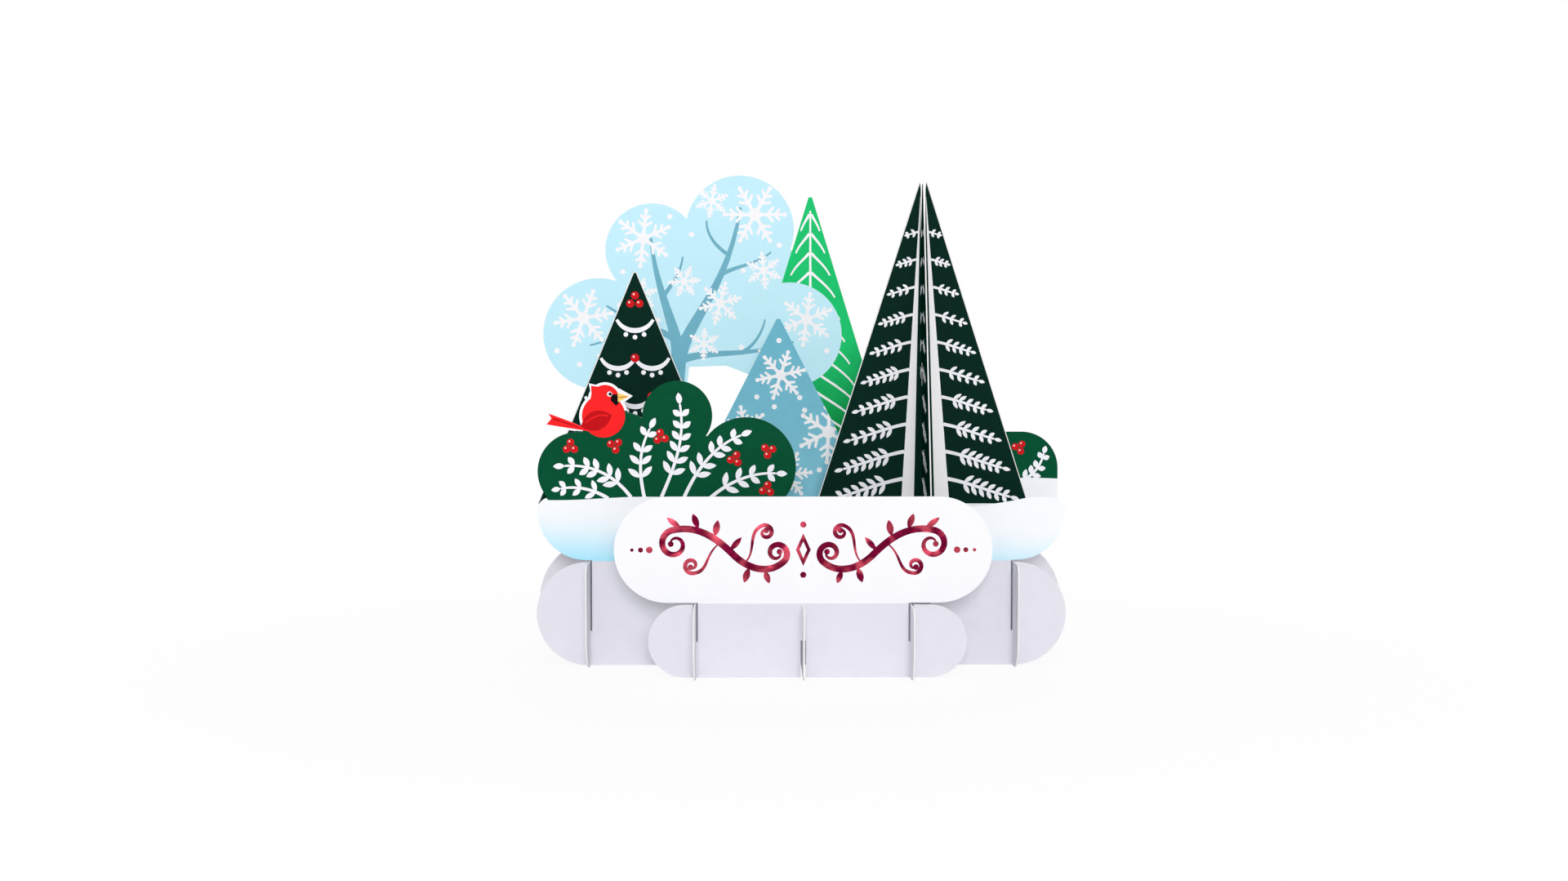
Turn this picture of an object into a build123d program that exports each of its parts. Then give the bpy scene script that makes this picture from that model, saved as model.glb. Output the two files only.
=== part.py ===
from build123d import *
import os

# Slotted pop-up greeting card that folds flat: five die-cut picture panels stand one behind the
# other and are held upright by cross strips and by the wing that makes one tree solid.
# Millimetres, +Z up, the front faces -Y, and the origin is on the table under the middle.

# Card stock and the half-lap slots that let two sheets pass through each other
card_thickness = 0.35
slot_play = 0.95
slot_width = card_thickness + slot_play
lap_level = 9.3
lap_play = 0.3
die_cut_gap = 0.5
cut_overrun = 2.0

# Lattice: spacing of the picture panels, and how far inside the base strips' ends the strips cross them
layer_pitch = 20.0
inner_strip_inset = 13.1
outer_strip_inset = 14.0
inner_strip_reach = 12.0
outer_strip_reach = 11.0
strip_toe_radius = 8.0
strip_shoulder_radius = 3.0

# Base strips that the panels stand on; each is named for the panel that it carries
front_base_setback = 14.9
front_base_height = 18.6
front_base_shift = 1.1
snow_base_width = 140.0
snow_base_height = 27.4
forest_base_overhang = 2.8
forest_base_height = 31.2

# Front banner
banner_width = 95.9
banner_height = 27.0

# Snow bank with a bush and a bird
snow_bank_setback = 0.6
snow_bank_height = 16.6
snow_shoulder_radius = 3.5
snow_dip_width = 54.0
snow_dip_depth = 3.0
bush_width = 68.2
bush_height = 30.7
bush_inset = 0.1
bird_length = 23.2
bird_height = 14.6
bird_inset = 1.9
bird_rise = 15.6

# Forest band with a dark tree on the left and the solid tree on the right
forest_band_overhang = 4.0
forest_band_height = 9.4
forest_shoulder_radius = 0.8
band_side_length = 0.1
dark_tree_x = -45.2
dark_tree_height = 63.6
dark_tree_half_width = 26.8
dark_tree_tip = 1.0
solid_tree_offset = 6.1
solid_tree_height = 88.0
solid_tree_half_width = 29.2
solid_tree_tip = 2.2
solid_tree_lap_level = 76.8
solid_tree_lap_play = 6.2
lead_in_half_width = 0.85
lead_in_depth = 8.0
wing_lap_level = 21.0
wing_foot_half_depth = 29.0
wing_drop = 0.5

# Frost tree and the right-hand bush
frost_band_overhang = 7.6
frost_tree_x = -5.85
frost_tree_height = 51.2
frost_tree_half_width = 26.6
frost_tree_tip = 1.0
side_bush_width = 28.8
side_bush_height = 19.2
side_bush_flat_width = 8.0

# Round-topped tree and the tall tree on the rear panel
crown_width = 87.4
crown_height = 62.0
crown_left_x = -74.8
crown_foot_z = 72.8
trunk_width = 7.0
trunk_lean = 4.5
tall_tree_x = 3.7
tall_tree_apex_z = 128.5
tall_tree_half_width = 26.6
tall_tree_tip = 1.0

# Shares of the bush: centre across its width, centre up its height, radius over its width
bush_lobe_shares = (
    (0.152, 0.222, 0.152),
    (0.318, 0.372, 0.164),
    (0.540, 0.700, 0.135),
    (0.806, 0.262, 0.192),
)
bush_core_shares = (
    (0.13, -0.06), (0.94, -0.06), (0.80, 0.30), (0.54, 0.70), (0.32, 0.37), (0.15, 0.22),
)
# Shares of the bird's length and height: body, head, crest, beak and forked tail
bird_body_share = (0.668, 0.400, 0.276)
bird_head_share = (0.685, 0.700, 0.194)
bird_crest_shares = ((0.50, 0.99), (0.86, 0.86), (0.55, 0.58))
bird_beak_shares = ((0.84, 0.90), (1.00, 0.76), (0.84, 0.58))
bird_tail_shares = ((0.50, 0.16), (0.02, 0.48), (0.06, 0.36), (0.00, 0.23), (0.50, 0.08))
# Shares of the crown: centre across its width, centre up its height, radius over its width
crown_lobe_shares = (
    (0.187, 0.251, 0.187),
    (0.366, 0.647, 0.157),
    (0.661, 0.744, 0.182),
    (0.828, 0.247, 0.172),
)
# Shares of the crown's width and height for the sheet between the lobes and its underside
crown_core_shares = (
    (0.182, 0.258), (0.366, 0.647), (0.661, 0.744), (0.920, 0.600), (0.828, 0.247),
    (0.745, 0.030), (0.615, 0.100), (0.400, 0.090),
)
trunk_place_share = 0.455
trunk_rise_share = 0.150

# Widths, heights and places that follow from the sizes above
front_base_width = banner_width - front_base_setback
forest_base_width = snow_base_width + forest_base_overhang
forest_band_width = snow_base_width + forest_band_overhang
frost_band_width = snow_base_width + frost_band_overhang
snow_bank_width = snow_base_width - snow_bank_setback
inner_strip_x = front_base_width / 2 - inner_strip_inset
outer_strip_x = snow_base_width / 2 - outer_strip_inset
solid_tree_x = inner_strip_x + solid_tree_offset
banner_bottom = front_base_height + die_cut_gap
snow_bottom = snow_base_height + die_cut_gap
snow_top = snow_bottom + snow_bank_height
forest_bottom = forest_base_height + die_cut_gap
forest_top = forest_bottom + forest_band_height
bush_left = -snow_bank_width / 2 + bush_inset
side_bush_corner_radius = (side_bush_width - side_bush_flat_width) / 2
solid_tree_top = forest_top + solid_tree_height
solid_tree_slope = (solid_tree_half_width - solid_tree_tip / 2) / solid_tree_height
inner_strip_half_length = 2 * layer_pitch + inner_strip_reach
outer_strip_half_length = layer_pitch + outer_strip_reach
low_align = (Align.CENTER, Align.MIN)


def cut_slot(place, bottom, top):
    """Cuts an upright slot in the sketch being drawn."""
    with Locations((place, bottom)):
        Rectangle(slot_width, top - bottom, align=low_align, mode=Mode.SUBTRACT)


def slot_from_below(place, level):
    """Cuts the half of a lap that opens at the table."""
    cut_slot(place, -cut_overrun, level + lap_play / 2)


def slot_from_above(place, level, top):
    """Cuts the half of a lap that opens at the top edge."""
    cut_slot(place, level - lap_play / 2, top)


def base_strip(width, height, neck_half_width, shift=0):
    """Adds a round-ended strip on the table and the neck between it and the picture above."""
    with Locations((shift, height / 2)):
        SlotOverall(width, height)
    with Locations((0, height / 2)):
        Rectangle(2 * neck_half_width, height / 2 + 2 * die_cut_gap, align=low_align)


def band(width, height, bottom, shoulder_radius):
    """Adds a level band whose lower corners are rounded almost up to the small upper ones."""
    corner_radius = height - shoulder_radius - band_side_length
    with BuildSketch(mode=Mode.PRIVATE) as outline:
        with Locations((0, bottom)):
            Rectangle(width, height, align=low_align)
        fillet(outline.vertices().group_by(Axis.Y)[-1], shoulder_radius)
        fillet(outline.vertices().sort_by(Axis.Y)[:2], corner_radius)
    add(outline.sketch)


def pointed_tree(axis_x, foot, height, half_width, tip_width):
    """Adds a straight-sided tree with a small flat tip."""
    points = [
        (axis_x - half_width, foot),
        (axis_x + half_width, foot),
        (axis_x + tip_width / 2, foot + height),
        (axis_x - tip_width / 2, foot + height),
    ]
    Polygon(*points, align=None)


def lobes(shares, left, foot, width, height):
    """Adds the round lobes of a bush or crown from shares of its width and height."""
    for across, up, radius in shares:
        with Locations((left + across * width, foot + up * height)):
            Circle(radius * width)


def shared_points(shares, left, foot, width, height):
    """Turns shares of a width and height into points of the sketch."""
    return [(left + across * width, foot + up * height) for across, up in shares]


with BuildPart() as front_banner_panel:
    with BuildSketch(Plane.XZ.offset(2 * layer_pitch)):
        base_strip(front_base_width, front_base_height, inner_strip_x, front_base_shift)
        with Locations((0, banner_bottom + banner_height / 2)):
            SlotOverall(banner_width, banner_height)
        slot_from_above(-inner_strip_x, lap_level, banner_bottom)
        slot_from_above(inner_strip_x, lap_level, banner_bottom)
        slot_from_below(0, lap_level)
    extrude(amount=card_thickness / 2, both=True)

# The top edge dips where the wing of the solid tree stands in front of the bank
dip_radius = (snow_dip_width ** 2 / 4 + snow_dip_depth ** 2) / (2 * snow_dip_depth)
bird_left = bush_left + bird_inset
bird_foot = snow_top + bird_rise

with BuildPart() as snow_bush_panel:
    with BuildSketch(Plane.XZ.offset(layer_pitch)):
        base_strip(snow_base_width, snow_base_height, outer_strip_x)
        band(snow_bank_width, snow_bank_height, snow_bottom, snow_shoulder_radius)
        with Locations((solid_tree_x, snow_top - snow_dip_depth + dip_radius)):
            Circle(dip_radius, mode=Mode.SUBTRACT)
        lobes(bush_lobe_shares, bush_left, snow_top, bush_width, bush_height)
        bush_core = shared_points(bush_core_shares, bush_left, snow_top, bush_width, bush_height)
        Polygon(*bush_core, align=None)
        lobes([bird_body_share, bird_head_share], bird_left, bird_foot, bird_length, bird_height)
        for outline in (bird_crest_shares, bird_beak_shares, bird_tail_shares):
            Polygon(*shared_points(outline, bird_left, bird_foot, bird_length, bird_height), align=None)
        slot_from_above(-outer_strip_x, lap_level, snow_bottom)
        slot_from_above(outer_strip_x, lap_level, snow_bottom)
        slot_from_above(solid_tree_x, wing_lap_level, snow_top)
        slot_from_below(-inner_strip_x, lap_level)
        slot_from_below(0, lap_level)
        slot_from_below(inner_strip_x, lap_level)
    extrude(amount=card_thickness / 2, both=True)

with BuildPart() as dark_trees_panel:
    with BuildSketch(Plane.XZ):
        base_strip(forest_base_width, forest_base_height, outer_strip_x)
        band(forest_band_width, forest_band_height, forest_bottom, forest_shoulder_radius)
        pointed_tree(dark_tree_x, forest_top, dark_tree_height, dark_tree_half_width, dark_tree_tip)
        pointed_tree(solid_tree_x, forest_top, solid_tree_height, solid_tree_half_width, solid_tree_tip)
        slot_from_above(-outer_strip_x, lap_level, forest_bottom)
        slot_from_above(outer_strip_x, lap_level, forest_bottom)
        cut_slot(solid_tree_x, solid_tree_lap_level - solid_tree_lap_play / 2, solid_tree_top + cut_overrun)
        lead_in = [
            (solid_tree_x - lead_in_half_width, solid_tree_top),
            (solid_tree_x + lead_in_half_width, solid_tree_top),
            (solid_tree_x, solid_tree_top - lead_in_depth),
        ]
        Polygon(*lead_in, align=None, mode=Mode.SUBTRACT)
        slot_from_below(-inner_strip_x, lap_level)
        slot_from_below(0, lap_level)
        slot_from_below(inner_strip_x, lap_level)
    extrude(amount=card_thickness / 2, both=True)

with BuildPart() as frost_tree_panel:
    with BuildSketch(Plane.XZ.offset(-layer_pitch)):
        base_strip(forest_base_width, forest_base_height, outer_strip_x)
        band(frost_band_width, forest_band_height, forest_bottom, forest_shoulder_radius)
        pointed_tree(frost_tree_x, forest_top, frost_tree_height, frost_tree_half_width, frost_tree_tip)
        with BuildSketch(mode=Mode.PRIVATE) as side_bush:
            with Locations((frost_band_width / 2 - side_bush_width / 2, forest_top)):
                Rectangle(side_bush_width, side_bush_height, align=low_align)
            fillet(side_bush.vertices().group_by(Axis.Y)[-1], side_bush_corner_radius)
        add(side_bush.sketch)
        slot_from_above(-outer_strip_x, lap_level, forest_bottom)
        slot_from_above(outer_strip_x, lap_level, forest_bottom)
        slot_from_above(solid_tree_x, wing_lap_level, forest_top + cut_overrun)
        slot_from_below(-inner_strip_x, lap_level)
        slot_from_below(0, lap_level)
        slot_from_below(inner_strip_x, lap_level)
    extrude(amount=card_thickness / 2, both=True)

# The rear panel repeats the front one's base and banner outline as a plain mound
mound_top = banner_bottom + banner_height
trunk_top_x = crown_left_x + trunk_place_share * crown_width
trunk_top = crown_foot_z + trunk_rise_share * crown_height

with BuildPart() as crown_tree_panel:
    with BuildSketch(Plane.XZ.offset(-2 * layer_pitch)):
        base_strip(front_base_width, front_base_height, inner_strip_x, front_base_shift)
        with Locations((0, banner_bottom + banner_height / 2)):
            SlotOverall(banner_width, banner_height)
        lobes(crown_lobe_shares, crown_left_x, crown_foot_z, crown_width, crown_height)
        core = shared_points(crown_core_shares, crown_left_x, crown_foot_z, crown_width, crown_height)
        Polygon(*core, align=None)
        trunk = [
            (trunk_top_x - trunk_width / 2, trunk_top),
            (trunk_top_x + trunk_width / 2, trunk_top),
            (trunk_top_x + trunk_width / 2 - trunk_lean, mound_top - cut_overrun),
            (trunk_top_x - trunk_width / 2 - trunk_lean, mound_top - cut_overrun),
        ]
        Polygon(*trunk, align=None)
        tall_tree_height = tall_tree_apex_z - mound_top + cut_overrun
        pointed_tree(
            tall_tree_x, mound_top - cut_overrun, tall_tree_height, tall_tree_half_width, tall_tree_tip
        )
        slot_from_above(-inner_strip_x, lap_level, banner_bottom)
        slot_from_above(inner_strip_x, lap_level, banner_bottom)
        slot_from_below(0, lap_level)
    extrude(amount=card_thickness / 2, both=True)


def cross_strip(place, half_length, height, from_below, from_above):
    """Makes a strip that crosses the panels, with the other halves of their laps cut in it."""
    with BuildPart() as strip:
        with BuildSketch(Plane.YZ.offset(place)) as outline:
            Rectangle(2 * half_length, height, align=low_align)
            fillet(outline.vertices().group_by(Axis.Y)[-1], strip_shoulder_radius)
            fillet(outline.vertices().sort_by(Axis.Y)[:2], strip_toe_radius)
            for layer in from_below:
                slot_from_below(layer * layer_pitch, lap_level)
            for layer in from_above:
                slot_from_above(layer * layer_pitch, lap_level, height)
        extrude(amount=card_thickness / 2, both=True)
    return strip.part


outer_layers = (-1, 0, 1)
outer_size = (outer_strip_half_length, snow_base_height)
inner_size = (inner_strip_half_length, front_base_height)
left_outer_strip = cross_strip(-outer_strip_x, *outer_size, outer_layers, ())
right_outer_strip = cross_strip(outer_strip_x, *outer_size, outer_layers, ())
left_inner_strip = cross_strip(-inner_strip_x, *inner_size, (-2, 2), (-1, 0, 1))
right_inner_strip = cross_strip(inner_strip_x, *inner_size, (-2, 2), (-1, 0, 1))
centre_strip = cross_strip(0, *inner_size, (), (-2, -1, 0, 1, 2))

# The wing has the solid tree's slope, and its tip stays just below the tree's
wing_top = solid_tree_top - wing_drop
wing_tip_half_depth = solid_tree_tip / 2 + wing_drop * solid_tree_slope
wing_shoulder = wing_top - (wing_foot_half_depth - wing_tip_half_depth) / solid_tree_slope

with BuildPart() as tree_wing_panel:
    with BuildSketch(Plane.YZ.offset(solid_tree_x)):
        wing = [
            (-wing_foot_half_depth, 0),
            (wing_foot_half_depth, 0),
            (wing_foot_half_depth, wing_shoulder),
            (wing_tip_half_depth, wing_top),
            (-wing_tip_half_depth, wing_top),
            (-wing_foot_half_depth, wing_shoulder),
        ]
        Polygon(*wing, align=None)
        cut_slot(0, -cut_overrun, solid_tree_lap_level + solid_tree_lap_play / 2)
        slot_from_below(-layer_pitch, wing_lap_level)
        slot_from_below(layer_pitch, wing_lap_level)
    extrude(amount=card_thickness / 2, both=True)

pieces = {
    "front_banner_panel": front_banner_panel.part,
    "snow_bush_panel": snow_bush_panel.part,
    "dark_trees_panel": dark_trees_panel.part,
    "frost_tree_panel": frost_tree_panel.part,
    "crown_tree_panel": crown_tree_panel.part,
    "left_outer_strip": left_outer_strip,
    "left_inner_strip": left_inner_strip,
    "centre_strip": centre_strip,
    "right_inner_strip": right_inner_strip,
    "right_outer_strip": right_outer_strip,
    "tree_wing_panel": tree_wing_panel.part,
}
os.makedirs("parts", exist_ok=True)
for name, piece in pieces.items():
    piece.label = name
    export_step(piece, f"parts/{name}.step")
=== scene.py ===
import bpy
import math
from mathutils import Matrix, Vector, geometry


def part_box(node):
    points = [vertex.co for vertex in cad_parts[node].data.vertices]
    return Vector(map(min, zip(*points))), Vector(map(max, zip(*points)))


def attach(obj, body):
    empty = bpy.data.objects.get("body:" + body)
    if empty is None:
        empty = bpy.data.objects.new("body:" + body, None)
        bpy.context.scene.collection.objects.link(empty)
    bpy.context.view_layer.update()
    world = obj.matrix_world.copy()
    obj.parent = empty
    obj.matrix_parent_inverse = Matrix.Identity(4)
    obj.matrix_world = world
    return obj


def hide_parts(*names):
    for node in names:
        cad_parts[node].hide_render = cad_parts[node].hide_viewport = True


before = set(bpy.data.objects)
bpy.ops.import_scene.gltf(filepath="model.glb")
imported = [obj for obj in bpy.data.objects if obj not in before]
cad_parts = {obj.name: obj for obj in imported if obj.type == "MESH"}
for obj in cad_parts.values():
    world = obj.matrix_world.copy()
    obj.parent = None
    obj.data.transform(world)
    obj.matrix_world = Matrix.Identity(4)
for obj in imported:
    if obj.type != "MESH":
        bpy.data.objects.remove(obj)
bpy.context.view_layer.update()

# Drawing is in millimetres on each sheet, across and then up, as in the die-cut outlines
MM = 0.001
CARD_THICKNESS = 0.35
# Print stops short of a cut edge by the margin where white shows round it, and else runs past it by the bleed
PRINT_MARGIN, BLEED = 0.22, 0.35
# Bands of colour run past the ends and the foot of every sheet
BEYOND, BELOW = 80.0, -1.0
# Tops of the grey bases: the rear panel's is level with the front one's, the frost panel's with the forest's
FRONT_BASE_TOP, SNOW_BASE_TOP, FOREST_BASE_TOP = 18.85, 27.65, 31.45
# Foot of the dark trees, edge of the snow before the bush, and top of the rear mound
FOREST_FOOT = 41.1
SNOW_LINE = 44.2
MOUND_TOP = 46.1

# Straight-sided trees: axis, height and half width of the tip, and half width gained per millimetre down
SOLID_TREE = (33.5, 129.1, 1.1, 0.3193)
DARK_TREE = (-45.2, 104.7, 0.5, 0.4135)
TALL_TREE = (3.7, 128.5, 0.5, 0.3092)

# Round lobes of the bush and of the crown: centre across, centre up, radius
BUSH_LOBES = (
    (-59.23, 51.32, 10.37), (-47.91, 55.92, 11.18), (-32.77, 65.99, 9.21), (-14.63, 52.54, 13.09),
)
CROWN_LOBES = (
    (-58.46, 88.36, 16.34), (-42.81, 112.91, 13.72), (-17.03, 118.93, 15.91), (-2.43, 88.11, 15.03),
)


def srgb(r, g, b):
    """Turns a screen colour of 0 to 255 into the linear colour that the shader takes, by the sRGB curve."""
    channels = [v / 255 for v in (r, g, b)]
    linear = [c / 12.92 if c <= 0.04045 else ((c + 0.055) / 1.055) ** 2.4 for c in channels]
    return (*linear, 1.0)


# Materials

# Range that holds most of a noise's values, and the whole range of a share
NOISE_CORE, WHOLE = (0.3, 0.7), (0.0, 1.0)
# Card: scale and detail of the fibres and of the clouds in the ink, and how the fibres run up the sheet
FIBRE_NOISE, CLOUD_NOISE = (1700, 4), (260, 5)
FIBRE_STRETCH = (1.0, 1.0, 0.4)
# How far fibres take the roughness down and up, and the strength and the height in metres of their bump
ROUGH_DOWN, ROUGH_UP = 0.08, 0.12
FIBRE_BUMP, FIBRE_HEIGHT = 0.4, 0.00002
# Foil: scale and detail of its ripple and of its painted reflection, bands of light and dark painted into its
# colour, then what the painted bands and the ripple give
RIPPLE_NOISE, PAINTED_REFLECTION_NOISE = (190, 3), (240, 1)
PAINTED_REFLECTION_CORE, FOIL_ROUGHNESS = (0.42, 0.66), (0.16, 0.32)
FOIL_BUMP, FOIL_HEIGHT = 0.7, 0.0005
# Gloss of the deep inks
DULL = 0.03


def new_material(name):
    mat = bpy.data.materials.new(name)
    mat.use_nodes = True
    return mat, mat.node_tree.nodes, mat.node_tree.links


def noise(nodes, links, vector, scale, detail):
    node = nodes.new("ShaderNodeTexNoise")
    node.inputs["Scale"].default_value = scale
    node.inputs["Detail"].default_value = detail
    links.new(vector, node.inputs["Vector"])
    return node.outputs["Fac"]


def remap(nodes, links, value, from_range, to_range):
    node = nodes.new("ShaderNodeMapRange")
    node.inputs["From Min"].default_value, node.inputs["From Max"].default_value = from_range
    node.inputs["To Min"].default_value, node.inputs["To Max"].default_value = to_range
    links.new(value, node.inputs["Value"])
    return node.outputs["Result"]


def ramp(nodes, links, value, low_colour, high_colour):
    node = nodes.new("ShaderNodeValToRGB")
    node.color_ramp.interpolation = "EASE"
    node.color_ramp.elements[0].color = low_colour
    node.color_ramp.elements[1].color = high_colour
    links.new(value, node.inputs["Fac"])
    return node.outputs["Color"]


def bump(nodes, links, height, strength, distance, shader):
    node = nodes.new("ShaderNodeBump")
    node.inputs["Strength"].default_value = strength
    node.inputs["Distance"].default_value = distance
    links.new(height, node.inputs["Height"])
    links.new(node.outputs["Normal"], shader.inputs["Normal"])


def card_material(name, colour, rough=0.5, gloss=0.2, tooth=1.0, mottle=0.05, fade=None):
    """Card with ink: fibres in the bump and the roughness, faint mottle in the ink.

    A fade changes the ink up the sheet: its lower and upper end, the colour at the foot, and its tilt.
    """
    mat, nodes, links = new_material(name)
    shader = nodes["Principled BSDF"]
    shader.inputs["Specular IOR Level"].default_value = gloss
    place = nodes.new("ShaderNodeTexCoord").outputs["Object"]
    fibre_grain = nodes.new("ShaderNodeMapping")
    fibre_grain.inputs["Scale"].default_value = FIBRE_STRETCH
    links.new(place, fibre_grain.inputs["Vector"])
    fibres = noise(nodes, links, fibre_grain.outputs["Vector"], *FIBRE_NOISE)
    clouds = noise(nodes, links, place, *CLOUD_NOISE)

    ink = nodes.new("ShaderNodeMix")
    ink.data_type = "RGBA"
    ink.blend_type = "MULTIPLY"
    ink.inputs["Factor"].default_value = 1.0
    links.new(remap(nodes, links, clouds, NOISE_CORE, (1.0 - mottle, 1.0)), ink.inputs["B"])
    if fade is None:
        ink.inputs["A"].default_value = colour
    else:
        low, high, foot_colour, tilt = fade
        split = nodes.new("ShaderNodeSeparateXYZ")
        links.new(place, split.inputs["Vector"])
        level = nodes.new("ShaderNodeMath")
        level.operation = "MULTIPLY_ADD"
        level.inputs[1].default_value = tilt
        links.new(split.outputs["X"], level.inputs[0])
        links.new(split.outputs["Z"], level.inputs[2])
        height = remap(nodes, links, level.outputs[0], (low * MM, high * MM), WHOLE)
        links.new(ramp(nodes, links, height, foot_colour, colour), ink.inputs["A"])
    links.new(ink.outputs["Result"], shader.inputs["Base Color"])
    roughness = remap(nodes, links, fibres, WHOLE, (rough - ROUGH_DOWN, rough + ROUGH_UP))
    links.new(roughness, shader.inputs["Roughness"])
    bump(nodes, links, fibres, FIBRE_BUMP * tooth, FIBRE_HEIGHT, shader)
    return mat


def foil_material(name, dark, bright):
    """Hot-stamped metallic foil: a painted reflection, bands of light and dark painted into its colour, and
    the slight ripple of the card under it.
    """
    mat, nodes, links = new_material(name)
    shader = nodes["Principled BSDF"]
    shader.inputs["Metallic"].default_value = 1.0
    place = nodes.new("ShaderNodeTexCoord").outputs["Object"]
    ripple = noise(nodes, links, place, *RIPPLE_NOISE)
    # Painted reflection: noise bands swing the foil's colour between its dark and its bright red
    painted_reflection = remap(nodes, links, noise(nodes, links, place, *PAINTED_REFLECTION_NOISE), PAINTED_REFLECTION_CORE, WHOLE)
    links.new(ramp(nodes, links, painted_reflection, dark, bright), shader.inputs["Base Color"])
    links.new(remap(nodes, links, ripple, NOISE_CORE, FOIL_ROUGHNESS), shader.inputs["Roughness"])
    bump(nodes, links, ripple, FOIL_BUMP, FOIL_HEIGHT, shader)
    return mat


INK = {
    "white": card_material("coated_white", srgb(249, 249, 254), mottle=0.015),
    "grey": card_material("base_grey", srgb(229, 228, 236), rough=0.6, tooth=1.5, mottle=0.025),
    "edge": card_material("cut_edge", srgb(246, 245, 243), rough=0.75, gloss=0.1, tooth=2.0, mottle=0.06),
    "back": card_material("uncoated_back", srgb(243, 243, 242), rough=0.7, gloss=0.1, tooth=1.8, mottle=0.03),
    "snow": card_material("snow_print", srgb(250, 252, 255), mottle=0.015,
                          fade=(19.0, 39.4, srgb(130, 229, 255), 0.040)),
    "bush": card_material("bush_green", srgb(2, 82, 52), gloss=DULL, mottle=0.12),
    "forest": card_material("forest_green", srgb(2, 41, 32), gloss=DULL, mottle=0.14),
    "matt": card_material("matt_forest_green", srgb(2, 41, 32), rough=0.75, gloss=0.0, mottle=0.14),
    "frost": card_material("frost_teal", srgb(111, 190, 212), mottle=0.06,
                           fade=(41.0, 90.0, srgb(133, 204, 224), 0.0)),
    "crown": card_material("pale_blue", srgb(200, 243, 255), mottle=0.015),
    "branch": card_material("branch_teal", srgb(113, 182, 203), mottle=0.08),
    "pine": card_material("pine_green", srgb(34, 206, 118), gloss=DULL, mottle=0.08,
                          fade=(44.0, 92.0, srgb(8, 134, 56), 0.0)),
    "flake": card_material("flake_white", srgb(254, 253, 255), mottle=0.02),
    "berry": card_material("berry_red", srgb(214, 26, 34), gloss=DULL, mottle=0.08),
    "glint": card_material("berry_glint", srgb(255, 206, 198), mottle=0.03),
    "red": card_material("bird_red", srgb(255, 38, 40), gloss=DULL, mottle=0.05),
    "wing": card_material("bird_wing", srgb(201, 16, 26), gloss=DULL, mottle=0.08),
    "beak": card_material("bird_beak", srgb(250, 214, 112), gloss=DULL, mottle=0.05),
    "black": card_material("ink_black", srgb(14, 12, 14), gloss=DULL, mottle=0.10),
    # The foil's dark and bright reds are the two ends of its painted reflection
    "foil": foil_material("red_foil", srgb(98, 8, 41), srgb(178, 66, 82)),
}
INK_ORDER = list(INK)


# Drawing helpers: a path is a row of points, and art is a list of inks with closed outlines

# Share of its radius that a scroll loses as it winds in, and power that fills out a leaf
SCROLL_WIND = 0.72
LEAF_FULLNESS = 0.8
# Flake: pen at no size and gained per millimetre, then shares of the pen and of the radius
FLAKE_ARMS = 6
FLAKE_PEN, FLAKE_PEN_GAIN = 0.45, 0.075
ARM_TAPER, ARM_KNOB, FLAKE_HUB = 0.8, 0.62, 0.22
# Barbs of a flake: place along the arm and length in shares, angle in degrees, and pen at both ends
FLAKE_BARBS = ((0.42, 0.33), (0.68, 0.25))
BARB_ANGLE = 52
BARB_START, BARB_END = 0.9, 0.65
# Frond: taper of the stem, first pair and run of the pairs along it, then shares for its leaves
STEM_TAPER = 0.6
FIRST_PAIR, PAIRS_RUN = 0.24, 0.62
LEAF_ROOT, LEAF_SHRINK, TIP_LEAF = 0.3, 0.4, 0.8
# Pen and leaf angle in degrees of the sprigs on both bushes
SPRIG_PEN, SPRIG_SPREAD = 0.95, 48
# Berries: offset and size of the glint, then how many make a group and how far they lie from its middle
GLINT_OFFSET, GLINT_SIZE = 0.3, 0.28
GROUP_COUNT, GROUP_SPACING = 3, 1.18


def turned(length, angle):
    """A step of some length in a direction."""
    return length * math.cos(angle), length * math.sin(angle)


def circle(cx, cz, r, n):
    points = [turned(r, 2 * math.pi * i / n) for i in range(n)]
    return [(cx + x, cz + z) for x, z in points]


def box(x0, z0, x1, z1):
    return [(x0, z0), (x1, z0), (x1, z1), (x0, z1)]


def bezier(p0, p1, p2, p3, n=12):
    points = []
    for i in range(n + 1):
        t = i / n
        weights = ((1 - t) ** 3, 3 * t * (1 - t) ** 2, 3 * t * t * (1 - t), t ** 3)
        points.append(tuple(sum(w * p[k] for w, p in zip(weights, (p0, p1, p2, p3))) for k in (0, 1)))
    return points


def heading_at(path, i):
    """Direction of a path at one of its points."""
    ax, az = path[max(i - 1, 0)]
    bx, bz = path[min(i + 1, len(path) - 1)]
    return math.atan2(bz - az, bx - ax)


def scroll(curve, radius, side, turns, n=16):
    """A curve that runs on into a spiral, to the left of its heading for side 1 and to the right for -1."""
    points = bezier(*curve, n)
    start = math.atan2(curve[3][1] - curve[2][1], curve[3][0] - curve[2][0]) - side * math.pi / 2
    dx, dz = turned(radius, start)
    centre = (curve[3][0] - dx, curve[3][1] - dz)
    for i in range(1, 2 * n + 1):
        t = i / (2 * n)
        dx, dz = turned(radius * (1 - SCROLL_WIND * t), start + side * 2 * math.pi * turns * t)
        points.append((centre[0] + dx, centre[1] + dz))
    return points


def ribbon(path, start, end, middle=None):
    """Outline of a pen stroke along a path, with its width at the start, the end and the middle."""
    left, right = [], []
    last = len(path) - 1
    for i, (x, z) in enumerate(path):
        t = i / last
        width = start + (end - start) * t
        if middle is not None:
            width += (middle - (start + end) / 2) * math.sin(math.pi * t)
        nx, nz = turned(width / 2, heading_at(path, i) + math.pi / 2)
        left.append((x + nx, z + nz))
        right.append((x - nx, z - nz))
    return right + left[::-1]


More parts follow.
